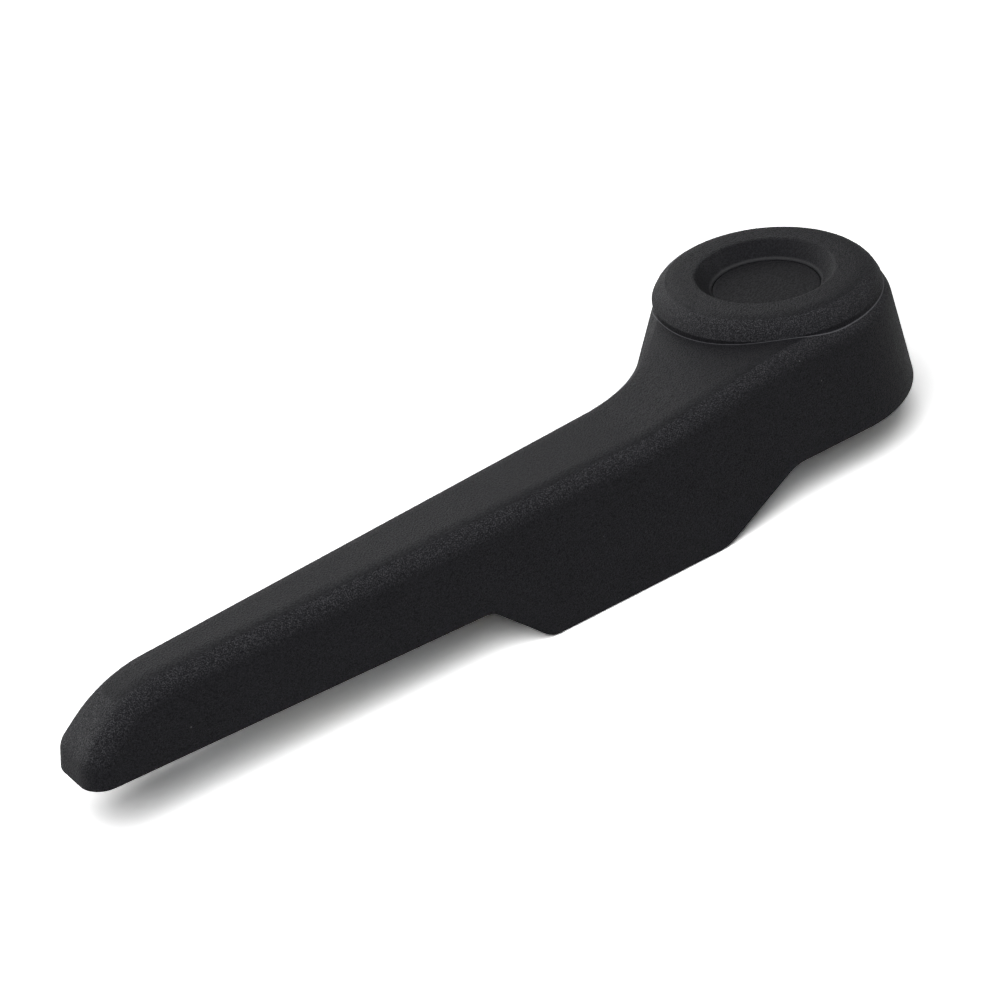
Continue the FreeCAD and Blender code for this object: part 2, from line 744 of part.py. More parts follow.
def drive_sleeve():
    """The steel sleeve: collar, round bore up to the clip's slots, and a serrated end."""
    body = new_body("drive_sleeve")
    foot = -s["sleeve_foot"]
    bore_end = s["clip_height"] - s["slip"]
    turned = new_sketch(body, "sleeve_turned", "XZ_Plane")
    loop(turned, [
        (s["bore_radius"] + s["mouth_chamfer"], foot, ZERO),
        (s["sleeve_radius"], foot, ZERO),
        (s["sleeve_radius"], s["plate_height"] - s["collar_thickness"], ZERO),
        (s["collar_radius"], s["plate_height"] - s["collar_thickness"], ZERO),
        (s["collar_radius"], s["plate_height"], ZERO),
        (s["sleeve_radius"], s["plate_height"], ZERO),
        (s["sleeve_radius"], sleeve_top(), ZERO),
        (s["spline_radius"], sleeve_top(), ZERO),
        (s["spline_radius"], bore_end, ZERO),
        (s["bore_radius"], bore_end, ZERO),
        (s["bore_radius"], foot + s["mouth_chamfer"], ZERO),
    ])
    spin(body, turned)
    slots = new_sketch(body, "clip_slots", height=bore_end)
    inner = s["clip_inside"] - s["clip_bite"] - s["slip"]
    outer = s["sleeve_radius"] + s["overrun"]
    for low, high in ((inner, outer), (-outer, -inner)):
        loop(slots, [(-outer, low, ZERO), (outer, low, ZERO), (outer, high, ZERO),
                     (-outer, high, ZERO)])
    pocket(body, slots, s["clip_thickness"] + s["slip"] * 2, up=True)
    groove = new_sketch(body, "spline_groove", height=bore_end)
    half = s["spline_radius"] * Size(math.pi, "pi") / s["splines"] * SPLINE_WIDTH_SHARE
    loop(groove, [
        (s["spline_radius"] - s["slip"], -half, ZERO),
        (s["spline_radius"] + s["spline_depth"], ZERO, ZERO),
        (s["spline_radius"] - s["slip"], half, ZERO),
    ])
    tooth = pocket(body, groove, up=True)
    repeat(body, tooth, "PolarPattern", "Z_Axis", s["splines"], None)
    return body


def clip_back_outside():
    """From the hub's axis to the outside of the clip's closed end."""
    return s["clip_back"] + s["clip_inside"] + s["clip_width"]


def retaining_clip():
    """The horseshoe spring clip with two nibs and a tab to pull it by."""
    body = new_body("retaining_clip")
    inner = s["clip_inside"]
    outer = inner + s["clip_width"]
    back = clip_back_outside()
    front = s["clip_front"]
    nib = s["nib_length"] / 2
    root = nib + s["clip_bite"]
    bite = inner - s["clip_bite"]
    bend = s["bend_round"]
    tight = bend - s["clip_width"]
    plan = new_sketch(body, "clip_plan", height=s["clip_height"])
    loop(plan, [
        (front, outer, ZERO),
        (-back, outer, bend),
        (-back, -outer, bend),
        (front, -outer, ZERO),
        (front, -inner, ZERO),
        (root, -inner, ZERO),
        (nib, -bite, ZERO),
        (-nib, -bite, ZERO),
        (-root, -inner, ZERO),
        (-back + s["clip_width"], -inner, tight),
        (-back + s["clip_width"], inner, tight),
        (-root, inner, ZERO),
        (-nib, bite, ZERO),
        (nib, bite, ZERO),
        (root, inner, ZERO),
        (front, inner, ZERO),
    ])
    pad(body, plan, s["clip_thickness"])
    tab = new_sketch(body, "clip_tab", height=s["tab_foot"])
    strip(tab, -back, -back + s["clip_width"], s["tab_width"] / 2)
    pad(body, tab, s["clip_height"] + s["clip_thickness"] - s["tab_foot"])
    return body


def hub_cap():
    """The press-in cap: a disc that is the dish's floor, on four springy legs."""
    body = new_body("hub_cap")
    floor = dish_floor()
    under = floor - s["cap_thickness"]
    foot = leg_foot()
    outer = s["cap_seat_radius"] - s["slip"]
    disc = new_sketch(body, "cap_turned", "XZ_Plane")
    loop(disc, [
        (ZERO, under, ZERO),
        (outer - s["leg_wall"], under, ZERO),
        (outer - s["leg_wall"], foot, ZERO),
        (outer, foot, ZERO),
        (outer, under, ZERO),
        (hub_radius("floor") - s["slip"], under, ZERO),
        (hub_radius("floor") - s["slip"], floor, s["cap_round"]),
        (ZERO, floor, ZERO),
    ])
    spin(body, disc)
    slots = new_sketch(body, "leg_slots", height=foot)
    far = s["cap_seat_radius"] + s["overrun"]
    strip(slots, -far, far, s["leg_slot"] / 2)
    pocket(body, slots, s["leg_length"], up=True)
    crossing = new_sketch(body, "leg_slots_across", height=foot)
    half = s["leg_slot"] / 2
    loop(crossing, [(-half, -far, ZERO), (half, -far, ZERO), (half, far, ZERO), (-half, far, ZERO)])
    pocket(body, crossing, s["leg_length"], up=True)
    return body


def plate_screw(number, across, aside):
    """A pan-head self-tapping screw, head against the plate and point up in its boss."""
    body = new_body(f"plate_screw_{number}")
    under = s["plate_height"]
    tip = under + s["screw_length"]
    turned = new_sketch(body, f"screw_turned_{number}", "XZ_Plane")
    loop(turned, [
        (ZERO, under - s["head_height"], ZERO),
        (s["head_radius"], under - s["head_height"], s["head_round"]),
        (s["head_radius"], under, ZERO),
        (s["screw_radius"], under, ZERO),
        (s["screw_radius"], tip - s["screw_radius"], ZERO),
        (ZERO, tip, ZERO),
    ])
    spin(body, turned)
    bind(body, "Placement.Base.x", across)
    bind(body, "Placement.Base.y", aside)
    return body


def build():
    """Makes every sub-part and returns them."""
    parts = [lever_shell(), hub_cap(), core_plate(), drive_sleeve(), retaining_clip()]
    for number, (across, aside) in enumerate(screw_places(), start=1):
        parts.append(plate_screw(number, across, aside))
    doc.recompute()
    return parts


def check_all(parts):
    """Stops if anything in the document failed or a sub-part isn't a sound solid."""
    for thing in doc.Objects:
        if "Invalid" in thing.State or "Error" in thing.State:
            raise RuntimeError(f"{thing.Label} failed: {thing.State}")
    for part in parts:
        if part.Shape.isNull() or not part.Shape.isValid() or not part.Shape.Solids:
            raise RuntimeError(f"{part.Label} isn't a sound solid")


def write_all(parts):
    """Writes each sub-part to its own STEP file and prints its size."""
    os.makedirs("parts", exist_ok=True)
    for part in parts:
        part.Shape.exportStep(f"parts/{part.Label}.step")
        box = part.Shape.BoundBox
        print(f"{part.Label}: {len(part.Shape.Solids)} solid, {part.Shape.Volume:.0f} mm3, "
              f"{box.XLength:.1f} x {box.YLength:.1f} x {box.ZLength:.1f} mm")


parts = build()
check_all(parts)
write_all(parts)
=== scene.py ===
# %% [markdown]
# # A seat recliner handle in moulded plastic
# The object is a black lever from the side of a car seat. It lies on its back on a white
# table. The frame brings in the solid model, so this lesson is about the looks: the camera,
# the light, the grain of the moulding, the metal inside, and the fine edges and screw heads
# that only close views show.

# %% Load the frame
import math

import bpy
import numpy as np
from mathutils import Matrix, Vector


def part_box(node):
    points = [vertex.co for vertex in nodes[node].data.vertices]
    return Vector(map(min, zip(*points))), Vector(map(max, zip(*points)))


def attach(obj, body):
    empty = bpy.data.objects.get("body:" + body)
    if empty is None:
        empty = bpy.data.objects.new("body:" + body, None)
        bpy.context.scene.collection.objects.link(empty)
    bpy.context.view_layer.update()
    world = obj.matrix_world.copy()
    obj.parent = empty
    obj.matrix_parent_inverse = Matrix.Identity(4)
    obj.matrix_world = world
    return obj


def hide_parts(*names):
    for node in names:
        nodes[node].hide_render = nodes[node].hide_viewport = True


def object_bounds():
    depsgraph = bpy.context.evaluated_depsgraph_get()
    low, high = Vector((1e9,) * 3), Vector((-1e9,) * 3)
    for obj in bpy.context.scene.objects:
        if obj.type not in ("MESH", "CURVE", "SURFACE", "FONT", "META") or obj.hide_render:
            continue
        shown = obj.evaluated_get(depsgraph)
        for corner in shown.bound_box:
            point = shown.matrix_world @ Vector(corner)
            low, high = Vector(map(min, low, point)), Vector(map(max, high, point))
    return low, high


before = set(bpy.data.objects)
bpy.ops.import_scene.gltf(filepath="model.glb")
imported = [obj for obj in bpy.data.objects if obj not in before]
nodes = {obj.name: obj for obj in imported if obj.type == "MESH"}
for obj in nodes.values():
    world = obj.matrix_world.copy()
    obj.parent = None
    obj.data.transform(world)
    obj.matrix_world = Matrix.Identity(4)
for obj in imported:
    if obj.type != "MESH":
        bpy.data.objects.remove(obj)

cad_low, cad_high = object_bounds()
MM = 0.001
print("nodes:", sorted(nodes))
print("object, mm:", [round(side / MM, 1) for side in cad_high - cad_low])

# %% [markdown]
# ## The camera
# A photograph fixes where its camera stood. The rim of the hub, the long straight side and
# the tip were matched until the outlines fell on each other. The camera could be kept as a
# matrix of sixteen numbers, but nobody can read one. So it is kept as the place where it
# stands, the place that it looks along, and its roll.

# %% Camera
FRAME_SIDE = 1001  # pixels
FOCAL_PIXELS = 3000.0
SENSOR = 36.0  # millimetres
CLIP_NEAR = 0.05  # metres
CLIP_FAR = 20.0
CAMERA_AT = Vector((303.40, 400.32, 278.34)) * MM
AIM = Vector((61.16, -5.39, 0.0)) * MM
ROLL = math.radians(-8.9)
LOOK = (AIM - CAMERA_AT).normalized()
UP = Vector((0, 0, 1))


def look_along(forward, roll):
    """Axes of a camera: side and top square to its direction, then turned about it by roll."""
    side = forward.cross(UP).normalized()
    top = side.cross(forward)
    right = side * math.cos(roll) + top * math.sin(roll)
    up = top * math.cos(roll) - side * math.sin(roll)
    return Matrix((right, up, -forward)).transposed()


def make_camera():
    """A camera with the photograph's focal length, at its place."""
    data = bpy.data.cameras.new("photo_camera")
    data.sensor_width = SENSOR
    data.lens = FOCAL_PIXELS / FRAME_SIDE * SENSOR
    data.clip_start = CLIP_NEAR
    data.clip_end = CLIP_FAR
    camera = bpy.data.objects.new("photo_camera", data)
    bpy.context.scene.collection.objects.link(camera)
    camera.matrix_world = Matrix.Translation(CAMERA_AT) @ look_along(LOOK, ROLL).to_4x4()
    bpy.context.scene.camera = camera
    return camera


camera = make_camera()
print("lens, mm:", round(camera.data.lens, 1))

# %% [markdown]
# ## Colours and nodes
# A colour is written as people read it, as a hex value, and one function turns it to the
# linear numbers that the renderer works in. One more function adds a node with its settings.
# Each of its inputs takes a plain value or what another node gives. Every material below is
# made with these two.

# %% Colour and node helpers


def linear(hex_colour):
    """sRGB hex to linear colour: up to 0.04045 divide by 12.92, above it a power of 2.4."""
    levels = np.array([int(hex_colour[i:i + 2], 16) for i in (1, 3, 5)]) / 255
    bent = np.where(levels <= 0.04045, levels / 12.92, ((levels + 0.055) / 1.055) ** 2.4)
    return (*bent.tolist(), 1.0)


def add(tree, kind, inputs=None, **settings):
    """Adds a node. An input takes a value, an output, or a node, whose first output it reads."""
    node = tree.nodes.new(kind)
    for name, value in settings.items():
        setattr(node, name, value)
    for name, value in (inputs or {}).items():
        if isinstance(value, bpy.types.Node):
            value = next(output for output in value.outputs if output.enabled)
        if isinstance(value, bpy.types.NodeSocket):
            tree.links.new(value, node.inputs[name])
        else:
            node.inputs[name].default_value = value
    return node


def new_material(name):
    """An empty node material and its tree."""
    material = bpy.data.materials.new(name)
    material.use_nodes = True
    material.node_tree.nodes.clear()
    return material, material.node_tree


def per_mm(size):
    """The scale at which a pattern's features come out at a size in millimetres."""
    return 1 / (size * MM)


print("white is", linear("#ffffff"), "and mid grey is", linear("#808080"))

# %% [markdown]
# ## Where a mark goes
# Some marks follow the shape: a fine painted highlight runs along the foot of the raised
# ring, where light catches its fillet, and another round the dish floor. Painting them would
# need an image. Every solid here sits at the origin, so the distance from the hub's axis and
# the height already say where a point is. A Map Range node makes a mask of either one, and
# masks that are multiplied say "and".

# %% Masks from the object's own points


def grow(low, high, unit=1.0):
    """Inputs of a mask that is 0 up to a low value and 1 from a high one on, in some unit."""
    return {"From Min": low * unit, "From Max": high * unit}


def fall(low, high, unit=1.0):
    """Inputs of a mask that is 1 up to a low value and 0 from a high one on, in some unit."""
    return {**grow(low, high, unit), "To Min": 1.0, "To Max": 0.0}


def where(tree, *steps, start=1.0):
    """A first mask times smooth ones, each a value and the inputs by which it grows or falls."""
    mask = start
    for value, inputs in steps:
        step = add(tree, "ShaderNodeMapRange", {"Value": value, **inputs},
                   interpolation_type="SMOOTHSTEP")
        mask = add(tree, "ShaderNodeMath", {0: mask, 1: step}, operation="MULTIPLY")
    return mask


def band(tree, value, middle, half):
    """1 at the middle of a band and 0 from half its width on: 1 - |value - middle| / half."""
    offset = add(tree, "ShaderNodeMath", {0: value, 1: middle}, operation="SUBTRACT")
    apart = add(tree, "ShaderNodeMath", {0: offset}, operation="ABSOLUTE")
    return add(tree, "ShaderNodeMapRange", {"Value": apart, **fall(0.0, half)})


def radius_of(tree, vector):
    """The length of (x, y, 0): for a point of the object, its distance from the hub's axis."""
    flat = add(tree, "ShaderNodeVectorMath", {0: vector, 1: (1, 1, 0)}, operation="MULTIPLY")
    return add(tree, "ShaderNodeVectorMath", {0: flat}, operation="LENGTH")


print("a mask that grows from 1 to 2 has the inputs", grow(1, 2))

# %% [markdown]
# ## Crisp top edges
# On the real moulding the flat top runs right up to a crisp line, and the round starts there
# at an angle, because the mould's top was ground after its edges were rounded. The solid's
# rounds are plain and start without a line. A shader can sharpen them without touching the
# mesh: a normal that leans a little is turned back upright, and one that leans more is left
# alone, so the change from flat to round comes at one lean. Along the arm only the sideways
# part of the lean is treated, so that the long bend at the tip stays smooth.

# %% Crisp normals
CRISP_LEAN = 0.42  # sine of the angle at which the line shows
CRISP_BLUR = 0.02  # the line turns over this much on both sides
HELD_LEAN = 0.08  # as much lean as a face keeps before the line
HUB_TO_ARM = (22.0, 30.0)  # millimetres along X in which the hub's rule gives way to the arm's
LOOKS_UP = (0.4, 0.6)  # height of the normal from which a face counts as a top


def crisp_share(tree, lean):
    """The share of a lean that is kept: held / lean before the crisp line, and 1 past it."""
    size = add(tree, "ShaderNodeMath", {0: lean}, operation="ABSOLUTE")
    held = add(tree, "ShaderNodeMath", {0: size, 1: HELD_LEAN}, operation="MINIMUM")
    past = where(tree, (size, grow(CRISP_LEAN - CRISP_BLUR, CRISP_LEAN + CRISP_BLUR)))
    kept = add(tree, "ShaderNodeMix", {"Factor": past, "A": held, "B": size})
    return add(tree, "ShaderNodeMath", {0: kept, 1: size}, operation="DIVIDE")


def crisp_normal(tree, places, normal):
    """The surface's normal with its small leans held back, as a new normal.

    On the hub x and y take the share that the whole lean keeps. On the arm x stays, and y
    takes its own share. Height is the root of 1 - x^2 - y^2, so the length stays 1.
    """
    parts = add(tree, "ShaderNodeSeparateXYZ", {"Vector": normal})
    along = add(tree, "ShaderNodeSeparateXYZ", {"Vector": places}).outputs["X"]
    hub_share = crisp_share(tree, radius_of(tree, normal))
    arm_share = crisp_share(tree, parts.outputs["Y"])
    on_arm = where(tree, (along, grow(*HUB_TO_ARM, MM)))
    x_share = add(tree, "ShaderNodeMix", {"Factor": on_arm, "A": hub_share, "B": 1.0})
    y_share = add(tree, "ShaderNodeMix", {"Factor": on_arm, "A": hub_share, "B": arm_share})
    shares = add(tree, "ShaderNodeCombineXYZ", {"X": x_share, "Y": y_share})
    held = add(tree, "ShaderNodeVectorMath", {0: normal, 1: shares}, operation="MULTIPLY")
    flat = add(tree, "ShaderNodeVectorMath", {0: held, 1: held}, operation="DOT_PRODUCT")
    rest = add(tree, "ShaderNodeMath", {0: 1.0, 1: flat}, operation="SUBTRACT")
    rise = add(tree, "ShaderNodeMath", {0: rest}, operation="SQRT")
    lift = add(tree, "ShaderNodeCombineXYZ", {"Z": rise})
    sharp = add(tree, "ShaderNodeVectorMath", {0: held, 1: lift}, operation="ADD")
    # Only faces that look up are sharpened; the walls and the inside keep their own normals
    upward = where(tree, (parts.outputs["Z"], grow(*LOOKS_UP)))
    return add(tree, "ShaderNodeMix", {"Factor": upward, "A": normal, "B": sharp},
               data_type="VECTOR")


print("crisp line at a lean of", round(math.degrees(math.asin(CRISP_LEAN)), 1), "degrees")

# %% [markdown]
# ## Grained black plastic
# The lever is moulded in black polypropylene. The steel mould is spark-eroded, which leaves
# a fine grain of pits that the plastic copies. A pit is about a third of a millimetre, one or
# two pixels here. An image of grain would stretch on the curved hub. Noise on the object's own
# points doesn't, so the grain is noise. It bends the surface, makes it a little rougher or
# smoother, and makes the pits darker than the peaks.

# %% Grain of the moulding
GRAIN_DETAIL = 2.0
GRAIN_ROUGHNESS = 0.55
GRAIN_STEP = (0.36, 0.64)  # noise levels of a pit's floor and a peak's top
CLOUD_SIZE = 9.0  # millimetres
CLOUD_DETAIL = 6.0


def moulded_grain(tree, places, size, contrast, dark, light):
    """Grain that is 0 in a pit and 1 on a peak, slow clouds, and the colour of both.

    The colour goes from dark to light by contrast * grain + (1 - contrast) * cloud.
    """
    noise = add(tree, "ShaderNodeTexNoise", {
        "Vector": places,
        "Scale": per_mm(size),
        "Detail": GRAIN_DETAIL,
        "Roughness": GRAIN_ROUGHNESS,
    })
    grain = where(tree, (noise, grow(*GRAIN_STEP)))
    cloud = add(tree, "ShaderNodeTexNoise", {
        "Vector": places,
        "Scale": per_mm(CLOUD_SIZE),
        "Detail": CLOUD_DETAIL,
    })
    shade = add(tree, "ShaderNodeMix", {"Factor": contrast, "A": cloud, "B": grain})
    colour = add(tree, "ShaderNodeMix", {"Factor": shade, "A": linear(dark), "B": linear(light)},
                 data_type="RGBA")
    return grain, cloud, colour


print("a pit of 0.3 mm has a noise scale of", round(per_mm(0.3)), "per metre")

# %% [markdown]
# Colour, roughness and relief all end in one shader. Polypropylene has an index of refraction
# of 1.49, and on a polished moulding its specular level would be the usual 0.5. This grain
# has pits too fine for the render to follow, which swallow most of the gloss, so the level is
# brought down until the tops match. Bare metal takes the shader's own values.

# %% From patterns to a shader
PLASTIC = {"IOR": 1.49, "Specular IOR Level": 0.08}
METAL = {"Metallic": 1.0}
CLOUD_DULLS = 0.12
PEAK_SHINES = 0.1


def dress(tree, stuff, colour, roughness, height, depth, strength=1.0, normal=None):
    """Joins a colour, a roughness and a relief of a depth in millimetres to a stuff's shader."""
    relief = {"Height": height, "Strength": strength, "Distance": depth * MM}
    if normal is not None:
        relief["Normal"] = normal
    shader = add(tree, "ShaderNodeBsdfPrincipled", {
        "Base Color": colour,
        "Roughness": roughness,
        "Normal": add(tree, "ShaderNodeBump", relief),
        **stuff,
    })
    add(tree, "ShaderNodeOutputMaterial", {"Surface": shader})


def dress_plastic(tree, grain, cloud, colour, depth, rough, normal=None):
    """Roughness is rough + 0.12 * cloud - 0.1 * grain: clouds are duller, peaks shinier."""
    dulled = add(tree, "ShaderNodeMath", {0: cloud, 1: CLOUD_DULLS, 2: rough},
                 operation="MULTIPLY_ADD")
    roughness = add(tree, "ShaderNodeMath", {0: grain, 1: -PEAK_SHINES, 2: dulled},
                    operation="MULTIPLY_ADD")
    dress(tree, PLASTIC, colour, roughness, grain, depth, normal=normal)


print("the plastic's shader values:", PLASTIC)

# %% [markdown]
# ## Painted highlights and dust on the lever
# On the round edges the highest peaks of the grain are made lighter: a painted sparkle, where
# light grazes the grain. A round edge is where the surface's normal has a middling height.
# Points nearer the axis than the dish's edge are left out, so the dish stays dull. Painted
# highlight lines run at the foot of the ring and of the dish, and a few specks of dust lie
# about: points of a Voronoi pattern, of which only the few with a high random colour show.

# %% Painted highlight and dust masks
PAINTED_SPARKLE_FROM = (-0.1, 0.7)  # heights of the normal between which the painted sparkle sets in
PAINTED_SPARKLE_TO = (0.89, 0.92)  # and between which it ends, at the flat top
PAINTED_SPARKLE_RADIUS = (14.0, 16.0)  # millimetres from the axis, at the dish's edge
PAINTED_SPARKLE_GRAIN = 0.19  # millimetres
PAINTED_SPARKLE_STEP = (0.47, 0.68)  # noise levels between which a peak gets the painted sparkle
# Painted highlight lines: in the fillet at the ring's foot and round the dish floor
RING_LINE, RING_LINE_HALF = 21.72, 0.12  # millimetres from the axis of the ring's painted highlight line, and half its width
DISH_LINE, DISH_LINE_HALF = 10.5, 0.3
ABOVE_SHOULDER = (17.0, 18.0)  # millimetres up
UNDER_RING_TOP = (22.0, 22.4)
DUST_APART = 4.0  # millimetres from one point of the pattern to the next
SPECK_EDGE = (0.03, 0.05)  # distance from a point at which its speck ends, in shares of that
SPECK_RARE = (0.86, 0.88)  # random red level above which a point has a speck


def painted_light_and_dust_masks(tree, places, normal):
    """Painted sparkle on round edges, painted highlights at ring and dish, then dust."""
    up = add(tree, "ShaderNodeSeparateXYZ", {"Vector": normal}).outputs["Z"]
    height = add(tree, "ShaderNodeSeparateXYZ", {"Vector": places}).outputs["Z"]
    radius = radius_of(tree, places)
    peaks = add(tree, "ShaderNodeTexNoise", {
        "Vector": places,
        "Scale": per_mm(PAINTED_SPARKLE_GRAIN),
        "Detail": GRAIN_DETAIL,
    })
    dust = add(tree, "ShaderNodeTexVoronoi", {"Vector": places, "Scale": per_mm(DUST_APART)})
    draw = add(tree, "ShaderNodeSeparateColor", {"Color": dust.outputs["Color"]})
    above = (height, grow(*ABOVE_SHOULDER, MM))
    under = (height, fall(*UNDER_RING_TOP, MM))
    # Painted sparkle: grain peaks on the round edges, outside the dish, made lighter
    painted_sparkle = where(tree, (up, grow(*PAINTED_SPARKLE_FROM)), (up, fall(*PAINTED_SPARKLE_TO)),
                   (radius, grow(*PAINTED_SPARKLE_RADIUS, MM)), (peaks, grow(*PAINTED_SPARKLE_STEP)))
    # Painted highlight lines at the ring's foot and round the dish, as lighter bands
    ring = band(tree, radius, RING_LINE * MM, RING_LINE_HALF * MM)
    dish = band(tree, radius, DISH_LINE * MM, DISH_LINE_HALF * MM)
    dusty = where(tree, (dust.outputs["Distance"], fall(*SPECK_EDGE)),
                  (draw.outputs["Red"], grow(*SPECK_RARE)))
    return (painted_sparkle, where(tree, above, start=ring), where(tree, above, under, start=dish), dusty)


# Radii of the painted highlight lines
print("painted_highlight lines at radius, mm:", RING_LINE, DISH_LINE)

# %% The lever's plastic
LEVER_GRAIN = 0.3  # millimetres, as is the depth
LEVER_DEPTH = 0.09
LEVER_CONTRAST = 0.55
LEVER_ROUGH = 0.5


def lever_finish():
    """Spark-grained polypropylene: dull black with painted sparkle and painted highlight lines."""
    material, tree = new_material("spark_grained_polypropylene")
    points = add(tree, "ShaderNodeTexCoord")
    places, normal = points.outputs["Object"], points.outputs["Normal"]
    grain, cloud, colour = moulded_grain(tree, places, LEVER_GRAIN, LEVER_CONTRAST,
                                         "#111114", "#28282c")
    # Painted sparkle, painted highlights at the ring's foot and round the dish, and dust
    layers = ("#4c4c4f", "#6e6e72", "#404042", "#5c5c5e")
    for mask, layer in zip(painted_light_and_dust_masks(tree, places, normal), layers):
        colour = add(tree, "ShaderNodeMix", {"Factor": mask, "A": colour, "B": linear(layer)},
                     data_type="RGBA")
    dress_plastic(tree, grain, cloud, colour, LEVER_DEPTH, LEVER_ROUGH,
                  crisp_normal(tree, places, normal))
    return material


lever_plastic = lever_finish()
print("lever:", lever_plastic.name, "nodes:", len(lever_plastic.node_tree.nodes))

# %% [markdown]
# The cap is a separate moulding from a smoother tool. Its grain is coarser and shallower, so
# it looks duller than the lever. Its rim gets a lighter band, a painted highlight on its round.

# %% The cap's plastic
CAP_GRAIN = 0.4  # millimetres, as are the depth and the painted rim highlight's place and half width
CAP_DEPTH = 0.04
CAP_RIM_HIGHLIGHT, CAP_RIM_HIGHLIGHT_HALF = 10.1, 0.35
CAP_CONTRAST = 0.5
CAP_ROUGH = 0.62


def cap_finish():
    """Satin polypropylene: even, soft black with a painted highlight on its rim."""
    material, tree = new_material("satin_black_polypropylene")
    places = add(tree, "ShaderNodeTexCoord").outputs["Object"]
    grain, cloud, colour = moulded_grain(tree, places, CAP_GRAIN, CAP_CONTRAST,
                                         "#141416", "#262629")
    # Painted highlight: a lighter band on the cap's rounded rim
    rim = band(tree, radius_of(tree, places), CAP_RIM_HIGHLIGHT * MM, CAP_RIM_HIGHLIGHT_HALF * MM)
    colour = add(tree, "ShaderNodeMix", {"Factor": rim, "A": colour, "B": linear("#38383a")},
                 data_type="RGBA")
    dress_plastic(tree, grain, cloud, colour, CAP_DEPTH, CAP_ROUGH)
    return material


cap_plastic = cap_finish()
print("cap:", cap_plastic.name, "nodes:", len(cap_plastic.node_tree.nodes))

# %% [markdown]
# ## Plated and blued steel
# The plate, the screws and the clip can only be seen from behind. The plate is rolled sheet
# with bright zinc on it, so its grain runs along the arm: noise that is stretched along X.
# Real lines are only a few hundredths of a millimetre apart, too fine to show, so they are
# drawn at a quarter of a millimetre.

# %% Plated steel
ROLLED_LINE, ROLLED_DETAIL = 0.25, 3.0  # millimetres, and levels of detail
ZINC_CLOUD, ZINC_CLOUD_DETAIL = 6.0, 5.0
ZINC_SHINIER, ZINC_DULLER = 0.1, 0.15  # how far the clouds take the roughness down and up
ROLLED_DEPTH, ROLLED_STRENGTH = 0.02, 0.4  # millimetres, and the share of it that shows


def mottled(tree, places, size, detail, colours):
    """Clouds of a size in millimetres, and the colour that they mix from a dark and a light."""
    cloud = add(tree, "ShaderNodeTexNoise", {
        "Vector": places,
        "Scale": per_mm(size),
        "Detail": detail,
    })
    dark, light = (linear(colour) for colour in colours)
    return cloud, add(tree, "ShaderNodeMix", {"Factor": cloud, "A": dark, "B": light},
                      data_type="RGBA")


def plated_steel(name, colours, rough, stretch):
    """Steel with a thin coat: fine lines, stretched along X, and shinier and duller clouds."""
    material, tree = new_material(name)
    places = add(tree, "ShaderNodeTexCoord").outputs["Object"]
    cloud, tone = mottled(tree, places, ZINC_CLOUD, ZINC_CLOUD_DETAIL, colours)
    lines = add(tree, "ShaderNodeTexNoise", {
        "Vector": add(tree, "ShaderNodeMapping", {"Vector": places, "Scale": (1 / stretch, 1, 1)}),
        "Scale": per_mm(ROLLED_LINE),
        "Detail": ROLLED_DETAIL,
    })
    roughness = add(tree, "ShaderNodeMapRange", {
        "Value": cloud,
        "To Min": rough - ZINC_SHINIER,
        "To Max": rough + ZINC_DULLER,
    })
    dress(tree, METAL, tone, roughness, lines, ROLLED_DEPTH, ROLLED_STRENGTH)
    return material


# Bright zinc on rolled sheet: pale, cool metal with long fine lines
plate_zinc = plated_steel("bright_zinc_plated_sheet", ("#b4b7ba", "#c9cbcc"), rough=0.35,
                          stretch=40)
# Zinc with a yellow passivation, as on small screws: brassy and a little blotched
screw_zinc = plated_steel("yellow_zinc_plated_steel", ("#b7a067", "#cdb988"), rough=0.3,
                          stretch=1)
# Spring steel left blue-black by its heat treatment: dark, with a cold sheen
clip_steel = plated_steel("blued_spring_steel", ("#2c3038", "#4a4e57"), rough=0.35, stretch=8)
print("plated and blued:", plate_zinc.name, screw_zinc.name, clip_steel.name)

# %% [markdown]
# The sleeve was turned on a lathe, so its fine lines run round its axis. A ready-made ring
# pattern would be too even. Noise that is read by the distance from the axis and the height
# alone is uneven, and it still can't do other than run round. These lines too are drawn
# coarser than the real ones, at a fifth of a millimetre.

# %% Turned steel
LATHE_LINE, LATHE_DETAIL = 0.2, 2.0
SLEEVE_CLOUD, SLEEVE_CLOUD_DETAIL = 3.0, 4.0
LATHE_SHINIER, LATHE_DULLER = 0.08, 0.12
LATHE_DEPTH, LATHE_STRENGTH = 0.03, 0.6


def turned_steel(name, colours, rough):
    """Lathe-turned steel: noise over (distance from the axis, 0, height) gives rings."""
    material, tree = new_material(name)
    places = add(tree, "ShaderNodeTexCoord").outputs["Object"]
    tone = mottled(tree, places, SLEEVE_CLOUD, SLEEVE_CLOUD_DETAIL, colours)[1]
    height = add(tree, "ShaderNodeSeparateXYZ", {"Vector": places}).outputs["Z"]
    radius = radius_of(tree, places)
    rings = add(tree, "ShaderNodeTexNoise", {
        "Vector": add(tree, "ShaderNodeCombineXYZ", {"X": radius, "Z": height}),
        "Scale": per_mm(LATHE_LINE),
        "Detail": LATHE_DETAIL,
    })
    roughness = add(tree, "ShaderNodeMapRange", {
        "Value": rings,
        "To Min": rough - LATHE_SHINIER,
        "To Max": rough + LATHE_DULLER,
    })
    dress(tree, METAL, tone, roughness, rings, LATHE_DEPTH, LATHE_STRENGTH)
    return material


# Free-cutting steel straight off the lathe: bare, bright rings on a warm grey
sleeve_steel = turned_steel("turned_free_cutting_steel", ("#a3a39f", "#b9b8b3"), rough=0.3)
print("turned:", sleeve_steel.name)

# %% [markdown]
# ## Give the solids their finishes
# The shapes of the lever, cap, plate, sleeve and clip are right as they are, so each keeps
# its mesh and only gets a better finish.

